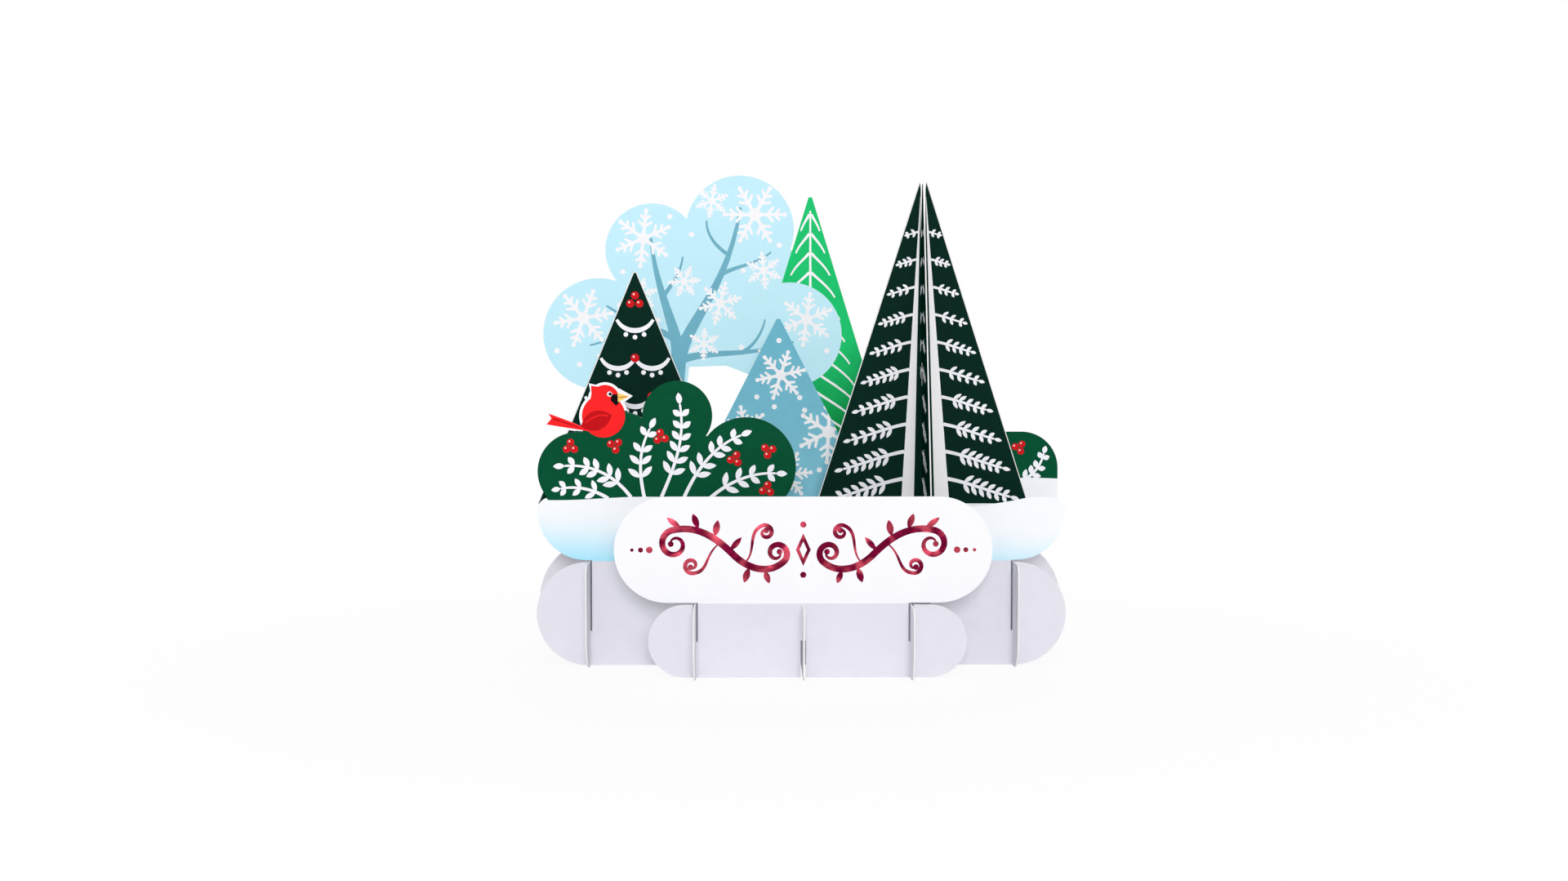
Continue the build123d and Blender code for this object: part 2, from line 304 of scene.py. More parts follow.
def leaf(base, tip, width, n=6):
    """A pointed lens from base to tip."""
    dx, dz = tip[0] - base[0], tip[1] - base[1]
    length = math.hypot(dx, dz)
    nx, nz = -dz / length, dx / length
    one, two = [], []
    for i in range(n + 1):
        t = i / n
        half = width / 2 * math.sin(math.pi * t) ** LEAF_FULLNESS
        one.append((base[0] + dx * t - nx * half, base[1] + dz * t - nz * half))
        if 0 < i < n:
            two.append((base[0] + dx * t + nx * half, base[1] + dz * t + nz * half))
    return one + two[::-1]


def grey_base(top):
    return "grey", box(-BEYOND, BELOW, BEYOND, top)


def snow_up_to(edge, foot):
    """Snow over a base, up to an edge that is drawn from right to left."""
    return "snow", [(-BEYOND, foot), (BEYOND, foot), *edge]


def flake(art, cx, cz, r, turn):
    """Six-armed snowflake of straight strokes, with two pairs of barbs and a round end on each arm."""
    pen = FLAKE_PEN + FLAKE_PEN_GAIN * r
    step = 360 / FLAKE_ARMS
    for k in range(FLAKE_ARMS):
        angle = math.radians(step * k + turn)
        ex, ez = turned(r, angle)
        art.append(("flake", ribbon([(cx, cz), (cx + ex, cz + ez)], pen, pen * ARM_TAPER)))
        art.append(("flake", circle(cx + ex, cz + ez, pen * ARM_KNOB, n=12)))
        for share, length in FLAKE_BARBS:
            bx, bz = cx + ex * share, cz + ez * share
            for side in (-1, 1):
                sx, sz = turned(r * length, angle + side * math.radians(BARB_ANGLE))
                barb = [(bx, bz), (bx + sx, bz + sz)]
                art.append(("flake", ribbon(barb, pen * BARB_START, pen * BARB_END)))
    hub = [turned(r * FLAKE_HUB, math.radians(step * (k + 0.5) + turn)) for k in range(FLAKE_ARMS)]
    art.append(("flake", [(cx + x, cz + z) for x, z in hub]))


def snowfall(art, flakes, dots, dot_radius):
    """Flakes of given place, radius and turn, and the dots between them."""
    for x, z, r, turn in flakes:
        flake(art, x, z, r, turn)
    art += [("flake", circle(x, z, dot_radius, n=12)) for x, z in dots]


def frond(art, path, pairs, size, width, pen, spread):
    """A curved white stem with pairs of pointed leaves that get shorter, and a leaf at the tip."""
    art.append(("white", ribbon(path, pen, pen * STEM_TAPER)))
    last = len(path) - 1
    for k in range(pairs):
        i = round(last * (FIRST_PAIR + PAIRS_RUN * k / (pairs - 1)))
        for side in (-1, 1):
            angle = heading_at(path, i) + side * math.radians(spread)
            sx, sz = turned(pen * LEAF_ROOT, angle)
            dx, dz = turned(size * (1.0 - LEAF_SHRINK * k / pairs), angle)
            base = (path[i][0] + sx, path[i][1] + sz)
            art.append(("white", leaf(base, (base[0] + dx, base[1] + dz), width)))
    dx, dz = turned(size * TIP_LEAF, heading_at(path, last))
    art.append(("white", leaf(path[-1], (path[-1][0] + dx, path[-1][1] + dz), width)))


def bush_sprigs(art, sprigs):
    """Sprigs of given stem curve, pairs of leaves, leaf length and leaf width."""
    for curve, pairs, size, width in sprigs:
        frond(art, bezier(*curve, n=16), pairs, size, width, SPRIG_PEN, SPRIG_SPREAD)


def berry(art, x, z, r):
    art.append(("berry", circle(x, z, r, n=16)))
    art.append(("glint", circle(x - r * GLINT_OFFSET, z + r * GLINT_OFFSET, r * GLINT_SIZE, n=8)))


def berry_group(art, cx, cz, turn, r=1.0):
    """Three berries that nearly touch."""
    for k in range(GROUP_COUNT):
        dx, dz = turned(r * GROUP_SPACING, math.radians(turn + 360 / GROUP_COUNT * k))
        berry(art, cx + dx, cz + dz, r)


def tree_outline(tree, foot, grow):
    """Outline of a straight-sided tree, grown for a bleed or drawn in for a margin."""
    axis, tip, tip_half, slope = tree
    foot_half = tip_half + (tip - foot) * slope + grow
    return [(axis - foot_half, foot), (axis + foot_half, foot), (axis + tip_half + grow, tip + grow),
            (axis - tip_half - grow, tip + grow)]


def half_width_at(tree, z):
    _, tip, tip_half, slope = tree
    return tip_half + (tip - z) * slope


# Sheets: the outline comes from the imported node, and the print is cut into the same sheet

# Spacing of the loose points that let a sheet bend, and how near they come to its edge as a share of that
GRID_PITCH, GRID_MARGIN_SHARE = 4.0, 0.05
# Outlines are rounded to these decimals, and points that lie nearer than the distance are merged
OUTLINE_DECIMALS, MERGE_DISTANCE = 3, 0.002
# Corners this near to a sheet's face, in metres, lie on it
FACE_TOLERANCE = CARD_THICKNESS * MM / 10
# The triangulation keeps only what lies inside an outline
INSIDE_OUTLINES = 1
SHARP_ANGLE = math.radians(35)


def signed_area(loop):
    return sum(a[0] * b[1] - b[0] * a[1] for a, b in zip(loop, loop[1:] + loop[:1])) / 2


def outline_loops(node, across, side):
    """Closed loops round one flat face of a sheet node, in millimetres, the largest first."""
    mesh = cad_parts[node].data
    plane = side * max(side * v.co[1 - across] for v in mesh.vertices)
    directed = set()
    for face in mesh.polygons:
        corners = [mesh.vertices[index].co for index in face.vertices]
        if all(abs(co[1 - across] - plane) < FACE_TOLERANCE for co in corners):
            points = [tuple(round(co[k] / MM, OUTLINE_DECIMALS) for k in (across, 2)) for co in corners]
            directed.update(zip(points, points[1:] + points[:1]))
    step = {a: b for a, b in directed if (b, a) not in directed}
    loops = []
    while step:
        start = min(step)
        here = step.pop(start)
        loop = [start]
        while here != start:
            loop.append(here)
            here = step.pop(here)
        loops.append(loop)
    return sorted(loops, key=lambda points: -abs(signed_area(points)))


def grid_inside(loop, pitch):
    """Loose points inside a loop, on a staggered grid, so that the sheet can bend."""
    heights = [p[1] for p in loop]
    margin = pitch * GRID_MARGIN_SHARE
    points = []
    rows = int((max(heights) - min(heights)) / pitch)
    for row in range(rows):
        z = min(heights) + pitch * (row + 0.5)
        crossings = sorted(a[0] + (z - a[1]) / (b[1] - a[1]) * (b[0] - a[0])
                           for a, b in zip(loop, loop[1:] + loop[:1]) if (a[1] > z) != (b[1] > z))
        for x0, x1 in zip(crossings[::2], crossings[1::2]):
            x = math.ceil(x0 / pitch) * pitch + (row % 2) * pitch / 2
            while x < x1 - margin:
                if x > x0 + margin:
                    points.append((x, z))
                x += pitch
    return points


def cut_print(loops, art, ground):
    """Cuts the outline and the print into triangles, and gives each the ink that lies on top."""
    points, faces = [], []
    for loop in loops + [shape for _, shape in art]:
        ordered = loop if signed_area(loop) > 0 else loop[::-1]
        faces.append(list(range(len(points), len(points) + len(ordered))))
        points.extend(ordered)
    points.extend(grid_inside(loops[0], GRID_PITCH))
    corners = [Vector(p) for p in points]
    cut = geometry.delaunay_2d_cdt(corners, [], faces, INSIDE_OUTLINES, MERGE_DISTANCE, True)
    flat, _, tris, _, _, origin = cut
    holes = set(range(1, len(loops)))
    kept = []
    for tri, sources in zip(tris, origin):
        if 0 in sources and not holes.intersection(sources):
            top = max(sources)
            kept.append((tri, art[top - len(loops)][0] if top >= len(loops) else ground))
    return flat, kept


def sheet(node, art, ground, warp=None, across=0, two_sided=False):
    """Builds one printed sheet in place of its node: front, back and cut edges are one closed mesh."""
    low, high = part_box(node)
    side = -1 if across == 0 else 1
    middle = (low[1 - across] + high[1 - across]) / 2 / MM
    flat, kept = cut_print(outline_loops(node, across, side), art, ground)
    used = sorted({i for tri, _ in kept for i in tri})
    index = {old: new for new, old in enumerate(used)}
    count = len(used)
    verts = []
    for half in (side, -side):
        for old in used:
            u, v = flat[old]
            depth = middle + half * CARD_THICKNESS / 2 + (warp(u, v) if warp else 0.0)
            place = (u, depth, v) if across == 0 else (depth, u, v)
            verts.append([c * MM for c in place])
    polys, inks = [], []
    directed = {}
    for tri, ink in kept:
        a, b, c = (index[i] for i in tri)
        polys += [(a, b, c), (c + count, b + count, a + count)]
        inks += [ink, ink if two_sided else "back"]
        directed.update({(a, b): None, (b, c): None, (c, a): None})
    for a, b in directed:
        if (b, a) not in directed:
            polys.append((b, a, a + count, b + count))
            inks.append("edge")

    present = [ink for ink in INK_ORDER if ink in set(inks)]
    mesh = bpy.data.meshes.new(node + "_sheet")
    mesh.from_pydata(verts, [], polys)
    for ink in present:
        mesh.materials.append(INK[ink])
    mesh.polygons.foreach_set("material_index", [present.index(ink) for ink in inks])
    mesh.polygons.foreach_set("use_smooth", [True] * len(polys))
    mesh.update()
    mesh.set_sharp_from_angle(angle=SHARP_ANGLE)
    piece = bpy.data.objects.new(node + "_print", mesh)
    bpy.context.scene.collection.objects.link(piece)
    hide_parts(node)
    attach(piece, node)


# Front banner: white card with a red foil flourish, over a grey base

FLOURISH_Z = 32.6
HAIRLINE = 0.35
# Right half, from the middle: curve, curl radius, curl side, curl turns, and pen at the start and the middle
FLOURISH_SCROLLS = (
    (((18.0, -1.0), (22.0, 3.0), (27.0, 6.6), (33.5, 4.9)), 3.6, -1, 1.2, 1.8, 1.5),
    (((18.0, -1.0), (14.0, -5.2), (8.5, -6.4), (4.8, -2.9)), 2.8, -1, 1.2, 1.8, 1.5),
    (((21.0, 1.8), (25.4, -1.2), (23.6, -5.8), (28.2, -6.0)), 2.0, 1, 1.1, HAIRLINE, 1.1),
    (((15.2, -3.6), (11.4, -0.8), (14.6, 4.6), (10.2, 6.2)), 1.9, 1, 1.1, HAIRLINE, 1.1),
)
SCROLL_KNOB = 0.75
# Base, tip and width of each leaf
FLOURISH_LEAVES = (
    ((22.4, 3.4), (21.6, 7.6), 1.8), ((26.6, 5.4), (28.0, 9.2), 1.7), ((31.0, 5.5), (34.6, 8.2), 1.5),
    ((13.8, -4.6), (15.0, -8.4), 1.8), ((9.8, -5.3), (8.6, -8.6), 1.6), ((18.6, -0.2), (15.6, 3.2), 1.5),
)
# Place across, height and radius of the dots at the end, and of the studs over and under the lozenge
FLOURISH_DOTS = ((39.0, 0, 0.85), (41.2, 0, 0.65), (43.4, 0, 0.45), (0, -6.4, 0.8), (0, 6.4, 0.8))
FLOURISH_LOZENGE = ((0, -4.2), (1.9, 0), (0, 4.2), (-1.9, 0))
LOZENGE_HOLE = 0.5


def banner_art():
    half = []
    for curve, radius, side, turns, first, middle in FLOURISH_SCROLLS:
        path = scroll(curve, radius, side, turns)
        half += [ribbon(path, first, HAIRLINE, middle), circle(*path[-1], SCROLL_KNOB, n=16)]
    half += [leaf(base, tip, width) for base, tip, width in FLOURISH_LEAVES]
    half += [circle(*dot, n=14) for dot in FLOURISH_DOTS]
    art = [grey_base(FRONT_BASE_TOP)]
    for shape in half:
        art += [("foil", [(side * x, FLOURISH_Z + z) for x, z in shape]) for side in (-1, 1)]
    for ink, size in (("foil", 1.0), ("white", LOZENGE_HOLE)):
        art.append((ink, [(x * size, FLOURISH_Z + z * size) for x, z in FLOURISH_LOZENGE]))
    return art


# Snow bank with a bush and a bird

# White ground behind the bird, and the bush's lower corners
BIRD_GROUND = (-71.0, 60.5, -44.0, 76.0)
BUSH_LEFT_FOOT, BUSH_RIGHT_FOOT = (-62.5, 41.0), (-3.5, 41.0)
# Stem curve, pairs of leaves, leaf length and leaf width
BUSH_SPRIGS = (
    (((-45.0, 44.5), (-49.0, 50.0), (-55.0, 53.4), (-62.4, 52.8)), 5, 3.9, 1.6),
    (((-41.5, 44.5), (-43.0, 51.6), (-43.0, 57.0), (-40.0, 62.6)), 4, 4.0, 1.6),
    (((-37.0, 44.5), (-33.5, 52.6), (-30.5, 60.0), (-32.1, 69.0)), 6, 3.9, 1.6),
    (((-31.0, 44.5), (-27.5, 52.5), (-22.5, 58.4), (-16.1, 60.8)), 5, 4.0, 1.6),
    (((-24.5, 44.0), (-19.5, 48.6), (-13.0, 51.2), (-6.9, 50.8)), 4, 3.9, 1.6),
    (((-51.0, 44.2), (-55.0, 46.8), (-59.5, 47.6), (-63.5, 46.8)), 3, 3.2, 1.4),
)
# Middle of each group of berries, and its turn in degrees
BUSH_BERRIES = (
    (-60.9, 57.8, 90), (-49.2, 58.2, 40), (-37.1, 60.4, 100),
    (-17.6, 54.6, 70), (-8.8, 56.8, 20), (-9.2, 46.6, 80),
)
# Edge of the snow in front of the bush: its right end, the places of its waves, and their height and pace
LIP_END = 2.0
LIP_PLACES = range(-2, -72, -3)
LIP_WAVE, LIP_PACE, LIP_PHASE = 0.45, 0.13, 0.6

# Bird: body, head, eye and pupil are centres and radii, and the wing has a base, a tip and a width
BIRD_BODY, BIRD_HEAD = (-52.2, 65.94, 5.7), (-51.8, 70.32, 3.8)
BIRD_EYE, BIRD_PUPIL = (-50.6, 71.7, 0.68), (-50.45, 71.7, 0.44)
BIRD_WING = ((-50.0, 66.2), (-58.2, 63.2), 5.2)
BIRD_TAIL = ((-56.0, 62.7), (-66.7, 66.6), (-65.9, 65.3), (-67.2, 63.7), (-56.0, 61.9))
BIRD_CREST = ((-55.2, 69.0), (-55.5, 73.9), (-52.6, 73.5), (-49.9, 72.6), (-51.1, 69.4))
BIRD_BEARD = ((-50.2, 71.6), (-48.2, 71.7), (-48.1, 69.4), (-48.9, 68.6), (-50.3, 70.0))
BIRD_BEAK = ((-48.5, 72.0), (-45.4, 71.1), (-48.4, 69.6))
# Strokes on the bird: path, and pen at the start and the end
TAIL_STROKE = (((-58.6, 62.9), (-65.4, 65.2)), 0.25, 0.5)
WING_STROKE = (bezier((-51.0, 65.9), (-53.0, 66.6), (-55.0, 65.8), (-57.0, 64.1), n=8), 0.4, 0.25)
BEAK_STROKE = (((-48.4, 70.85), (-45.8, 71.0)), 0.2, 0.15)


def bird_art():
    """Round red bird with a short crest and a raised tail, in profile."""
    return [
        ("red", BIRD_TAIL),
        ("wing", ribbon(*TAIL_STROKE)),
        ("red", circle(*BIRD_BODY, n=40)),
        ("red", circle(*BIRD_HEAD, n=32)),
        ("red", BIRD_CREST),
        ("wing", leaf(*BIRD_WING, n=9)),
        ("red", ribbon(*WING_STROKE)),
        ("black", BIRD_BEARD),
        ("beak", BIRD_BEAK),
        ("wing", ribbon(*BEAK_STROKE)),
        ("white", circle(*BIRD_EYE, n=16)),
        ("black", circle(*BIRD_PUPIL, n=12)),
    ]


def bush_art():
    art = [grey_base(SNOW_BASE_TOP), ("white", box(*BIRD_GROUND))]
    art += [("bush", circle(x, z, r + BLEED, n=48)) for x, z, r in BUSH_LOBES]
    middles = [(x, z) for x, z, _ in BUSH_LOBES]
    art.append(("bush", [BUSH_LEFT_FOOT, *middles, BUSH_RIGHT_FOOT]))
    bush_sprigs(art, BUSH_SPRIGS)
    for x, z, turn in BUSH_BERRIES:
        berry_group(art, x, z, turn)
    lip = [(-BEYOND, SNOW_BASE_TOP), (LIP_END, SNOW_BASE_TOP), (LIP_END, SNOW_LINE)]
    lip += [(x, SNOW_LINE + LIP_WAVE * math.sin(x * LIP_PACE + LIP_PHASE)) for x in LIP_PLACES]
    art.append(("snow", lip + [(-BEYOND, SNOW_LINE)]))
    return art + bird_art()


# Dark trees: garlands on the left tree, fir boughs on the solid tree and on its wing

STRIPE_TOP = 125.2
# Trunk stripes: side, then how far the inner and the outer edge lie from the axis, at the foot and at the top
STRIPES = ((-1, (2.35, 0.74), (5.85, 0.8)), (1, (3.35, 0.74), (7.45, 0.8)))
# Fir boughs: rows, their gap to the tree's foot and tip, and the gap of their ends to its edge
BOUGH_ROWS = 10
FOOT_GAP, TIP_GAP, EDGE_GAP = 7.0, 13.5, 1.0
# Droop of a bough as a share of its span, and its curve in shares of span and droop
BOUGH_DROOP = 0.26
BOUGH_CURVE = ((0.0, 0.0), (0.3, 0.2), (0.6, 0.7), (0.9, 1.0))
# Length and width of a needle, and the pen: least, and gained per millimetre of span
NEEDLE_LENGTH, NEEDLE_WIDTH, BOUGH_PEN = (1.0, 0.12), (0.6, 0.03), (0.55, 0.025)
# A bough has two pairs of needles, and one more for each such length of span; their angle is in degrees
LEAST_PAIRS, PAIR_SPAN, NEEDLE_SPREAD = 2, 4.2, 46
# On the wing, how far the boughs start from its middle, and what share of the tree's width they reach
WING_BOUGH_START, WING_REACH = 1.2, 0.7

# Garland rows of the left tree: how far below its tip, how many swags, and their gap to the tree's edge
GARLANDS = ((13.0, 1), (23.5, 2), (34.0, 3), (45.0, 3))
GARLAND_GAP = 0.4
# Swag: least sag and sag gained with its width, inset of its curve, and pen at both ends and the middle
SWAG_SAG, SWAG_SAG_GAIN = 1.2, 0.28
SWAG_INSET = 0.2
SWAG_PENS = (0.8, 0.8, 1.35)
# Beads under a swag: places along it, drop and radius
BEAD_SHARES = (0.25, 0.5, 0.75)
BEAD_DROP, BEAD_RADIUS = 1.8, 0.65
# Berries between swags, and at the tip with their places across and below it
SWAG_BERRY, TIP_BERRY = 1.2, 1.1
TIP_BERRIES = ((0.0, 6.4), (-1.25, 8.6), (1.25, 8.6))
# The snow laps over the foot of the trees by this much
FOOT_OVERLAP = 0.2


def stripe_edge(z, at_foot, at_top):
    share = (STRIPE_TOP - z) / (STRIPE_TOP - FOREST_FOOT)
    return at_top + (at_foot - at_top) * max(share, 0.0)


def fir_boughs(art, axis, side, start_of, reach=1.0):
    """Drooping boughs on one side of an axis, each a frond of needles."""
    _, tip, _, _ = SOLID_TREE
    low, high = FOREST_FOOT + FOOT_GAP, tip - TIP_GAP
    for k in range(BOUGH_ROWS):
        z = low + (high - low) * k / (BOUGH_ROWS - 1)
        start = start_of(z)
        span = reach * (half_width_at(SOLID_TREE, z) - EDGE_GAP) - start
        drop = BOUGH_DROOP * span
        bough = bezier(*[(start + along * span, z - down * drop) for along, down in BOUGH_CURVE], n=24)
        path = [(axis + side * u, v) for u, v in bough]
        size, width, pen = (least + gain * span for least, gain in (NEEDLE_LENGTH, NEEDLE_WIDTH, BOUGH_PEN))
        frond(art, path, LEAST_PAIRS + int(span / PAIR_SPAN), size, width, pen, NEEDLE_SPREAD)


def garland(art, left, right, z):
    """A hanging swag with beads under it."""
    width = right - left
    sag = SWAG_SAG + width * SWAG_SAG_GAIN
    inset = SWAG_INSET * width
    swag = bezier((left, z), (left + inset, z - sag), (right - inset, z - sag), (right, z))
    art.append(("white", ribbon(swag, *SWAG_PENS)))
    for share in BEAD_SHARES:
        # Depth of the swag's curve at this share of it
        depth = sag * 3 * share * (1 - share)
        bead = circle(left + width * share, z - depth - BEAD_DROP, BEAD_RADIUS, n=12)
        art.append(("white", bead))


def forest_art():
    art = [grey_base(FOREST_BASE_TOP),
           ("forest", tree_outline(SOLID_TREE, FOREST_FOOT, -PRINT_MARGIN)),
           ("forest", tree_outline(DARK_TREE, FOREST_FOOT, -PRINT_MARGIN)),
           ("snow", box(-BEYOND, FOREST_BASE_TOP, BEYOND, FOREST_FOOT + FOOT_OVERLAP))]
    axis, _, _, _ = SOLID_TREE
    for side, inner, outer in STRIPES:
        corners = ((inner, FOREST_FOOT), (outer, FOREST_FOOT), (outer, STRIPE_TOP), (inner, STRIPE_TOP))
        art.append(("flake", [(axis + side * stripe_edge(z, *edge), z) for edge, z in corners]))
        fir_boughs(art, axis, side, lambda z: stripe_edge(z, *outer))

    axis, tip, _, slope = DARK_TREE
    for drop, parts in GARLANDS:
        half, z = drop * slope - GARLAND_GAP, tip - drop
        for k in range(parts):
            left, right = (axis - half + 2 * half * j / parts for j in (k, k + 1))
            garland(art, left, right, z)
            if k:
                berry(art, left, z, SWAG_BERRY)
    for dx, drop in TIP_BERRIES:
        berry(art, axis + dx, tip - drop, TIP_BERRY)
    return art


def wing_art():
    art = [grey_base(FOREST_BASE_TOP), ("snow", box(-BEYOND, FOREST_BASE_TOP, BEYOND, FOREST_FOOT))]
    for side in (-1, 1):
        fir_boughs(art, 0.0, side, lambda z: WING_BOUGH_START, WING_REACH)
    return art


# Frost tree and the right-hand bush

# Centre, radius and turn in degrees of each flake, and the places and the radius of the dots between them
FROST_FLAKES = (
    (-5.2, 76.4, 6.8, 12), (8.4, 60.2, 8.6, 27), (-15.4, 60.8, 6.6, 40),
    (-3.2, 48.0, 6.6, 6), (18.6, 46.4, 5.2, 18), (-24.4, 47.6, 5.6, 24),
)
FROST_DOTS = (
    (-5.7, 86.2), (0.2, 70.0), (-12.0, 70.2), (-7.0, 67.4), (1.6, 66.4),
    (-5.6, 58.6), (-12.2, 53.4), (-10.6, 46.4), (5.8, 49.4), (14.4, 51.6), (-17.8, 51.6),
)
FROST_DOT_RADIUS = 0.75
SIDE_BUSH_GROUND = (40.0, 40.0, BEYOND, 62.0)
# Stem curve, pairs of leaves, leaf length and leaf width
SIDE_SPRIGS = (
    (((61.0, 45.0), (65.6, 46.6), (68.8, 49.6), (69.8, 54.0)), 4, 2.9, 1.5),
    (((50.0, 46.0), (50.6, 50.4), (52.5, 54.0), (56.0, 56.4)), 3, 2.9, 1.5),
)
SIDE_BERRIES = (62.8, 55.8, 50)
SIDE_SNOW_EDGE = (
    (BEYOND, 46.6), (66.0, 47.2), (52.0, 46.6), (40.0, 45.0), (24.0, 42.4), (10.0, 41.4), (-BEYOND, 41.4),
)


def frost_art():
    art = [("bush", box(*SIDE_BUSH_GROUND))]
    bush_sprigs(art, SIDE_SPRIGS)
    berry_group(art, *SIDE_BERRIES)
    art += [grey_base(FOREST_BASE_TOP), snow_up_to(SIDE_SNOW_EDGE, FOREST_BASE_TOP)]
    snowfall(art, FROST_FLAKES, FROST_DOTS, FROST_DOT_RADIUS)
    return art


# Rear panel: round-topped tree, tall tree and snowy mound

# Boughs of the tall tree: rows, gap of the first to the tip, pitch, and where they start beside the axis
TALL_TREE_ROWS = 13
FIRST_ROW, ROW_PITCH, ROW_START = 5.0, 5.7, 0.3
# Their reach as a share of the tree's half width a little lower down, and their least fall and its gain
ROW_REACH, ROW_LOWER = 0.84, 4.0
ROW_FALL, ROW_FALL_GAIN = 3.4, 0.55
# Their curve in shares of reach and fall, and pen at the start and the end, as for the stem
ROW_CURVE = ((0.35, 0.3), (0.8, 0.6), (1.0, 1.0))
ROW_PENS, STEM_PENS = (0.8, 0.45), (0.5, 1.2)
STEM_GAP = 4.0
# The tall tree's foot goes this far into the mound
TALL_TREE_SUNK = 3.0

CROWN_UNDERSIDE = ((-9.6, 74.0), (-21.0, 78.5), (-40.2, 77.9))
CROWN_RIGHT = ((-17.0, 128.0), (0.0, 118.6), (-5.4, 101.0), (-19.2, 100.0))
TRUNK = ((-43.1, 44.0), (-35.9, 44.0), (-33.4, 74.0), (-32.6, 84.0), (-36.8, 84.0), (-38.8, 74.0))
# Curve of each branch, and its width at the start and the end
BRANCHES = (
    (((-35.2, 82.0), (-35.4, 90.0), (-41.5, 100.0), (-43.2, 116.5)), 4.0, 0.8),
    (((-34.6, 82.0), (-32.2, 92.0), (-20.4, 102.0), (-16.8, 125.5)), 4.0, 0.8),
    (((-35.6, 86.0), (-39.2, 90.0), (-48.2, 91.0), (-56.2, 96.6)), 2.2, 0.6),
    (((-34.4, 80.5), (-27.0, 84.0), (-15.0, 81.0), (-1.2, 86.0)), 2.4, 0.6),
    (((-39.4, 99.5), (-37.0, 103.0), (-34.4, 106.0), (-33.8, 111.0)), 1.3, 0.5),
    (((-22.2, 106.0), (-17.8, 108.4), (-12.4, 108.6), (-7.8, 112.4)), 1.3, 0.5),
    (((-46.8, 92.0), (-51.2, 90.0), (-55.4, 86.0), (-61.2, 85.0)), 1.2, 0.5),
    (((-17.0, 82.6), (-13.2, 84.4), (-10.6, 88.0), (-9.6, 92.6)), 1.2, 0.5),
    (((-20.2, 111.5), (-24.4, 114.0), (-27.0, 118.0), (-26.8, 121.6)), 1.2, 0.5),
)
# Centre, radius and turn in degrees of each flake, and the places and the radius of the dots between them
CROWN_FLAKES = (
    (-63.0, 93.0, 8.4, 10), (-54.6, 79.6, 4.8, 30), (-45.4, 116.4, 8.2, 24), (-33.4, 103.8, 4.4, 5),
    (-12.6, 123.4, 8.8, 0), (-25.2, 127.4, 4.6, 20), (-22.8, 97.4, 6.0, 15), (-10.0, 107.0, 5.0, 36),
    (2.6, 92.6, 7.6, 22), (-8.4, 79.8, 4.6, 8), (-46.2, 99.8, 4.6, 18), (-27.6, 85.4, 4.4, 28),
)
CROWN_DOTS = (
    (-70.8, 83.4), (-64.2, 79.4), (-51.4, 106.6), (-37.6, 122.8), (-31.2, 117.6), (-16.0, 107.0),
    (-5.4, 114.4), (-16.6, 84.4), (-52.4, 96.8), (8.6, 83.4), (-41.0, 92.4),
)
CROWN_DOT_RADIUS = 0.8
MOUND_EDGE = ((60.0, 40.0), (34.0, 45.2), (12.0, 44.2), (-10.0, 45.4), (-32.0, 44.4), (-60.0, 40.0))


def tall_tree_art():
    """Bright tree with arched boughs that hang from its axis like chevrons."""
    axis, tip, _, _ = TALL_TREE
    art = [("pine", tree_outline(TALL_TREE, MOUND_TOP - TALL_TREE_SUNK, BLEED))]
    for k in range(TALL_TREE_ROWS):
        z = tip - FIRST_ROW - ROW_PITCH * k
        run = ROW_REACH * half_width_at(TALL_TREE, z - ROW_LOWER)
        fall = ROW_FALL + ROW_FALL_GAIN * run
        bough = bezier((ROW_START, z), *[(along * run, z - down * fall) for along, down in ROW_CURVE], n=10)
        for side in (-1, 1):
            art.append(("flake", ribbon([(axis + side * u, v) for u, v in bough], *ROW_PENS)))
    art.append(("flake", ribbon([(axis, tip - STEM_GAP), (axis, MOUND_TOP)], *STEM_PENS)))
    return art


def crown_art():
    art = tall_tree_art()
    art += [("crown", circle(x, z, r + BLEED, n=64)) for x, z, r in CROWN_LOBES]
    middles = [(x, z) for x, z, _ in CROWN_LOBES]
    art += [("crown", [*middles, *CROWN_UNDERSIDE]), ("crown", CROWN_RIGHT), ("branch", TRUNK)]
    art += [("branch", ribbon(bezier(*curve), start, end)) for curve, start, end in BRANCHES]
    snowfall(art, CROWN_FLAKES, CROWN_DOTS, CROWN_DOT_RADIUS)
    art += [grey_base(FRONT_BASE_TOP), snow_up_to(MOUND_EDGE, FRONT_BASE_TOP)]
    return art


# Bends in millimetres: each sheet bows a little where no slot holds it

SLOT_PLACES = (-56.0, -27.4, 0.0, 27.4, 33.5, 56.0)
BUCKLE_SHARE = 0.0175
# Half widths within which the sheets don't curl, and levels under which they don't lean
BANNER_FLAT_HALF, PANEL_FLAT_HALF, CROWN_FLAT_HALF = 24.0, 58.0, 46.0
PANEL_FLAT_TOP, CROWN_FLAT_TOP = 44.0, 46.0
# Bend past those lines, for each millimetre squared
BANNER_CURL, SNOW_CURL, FOREST_CURL, FROST_CURL, CROWN_CURL = 0.0016, 0.0016, 0.0012, 0.0012, 0.0005
SNOW_LEAN, FOREST_LEAN, FROST_LEAN, CROWN_LEAN = 0.0007, 0.00022, 0.00035, 0.00014
# Levels between which the curl of the banner and the crown sets in, and that of the forest's band dies out
BANNER_NECK, FOREST_BAND, CROWN_NECK = (17.0, 24.0), (34.0, 42.0), (60.0, 80.0)
# Places, counted to the left, between which the lean of the dark tree and of the frost tree sets in
FOREST_LEAN_SIDE, FROST_LEAN_SIDE = (-6.0, 12.0), (-24.0, 0.0)
# Share and pace of the wave in the snow panel's lean
LEAN_WAVE, LEAN_PACE = 0.4, 0.09


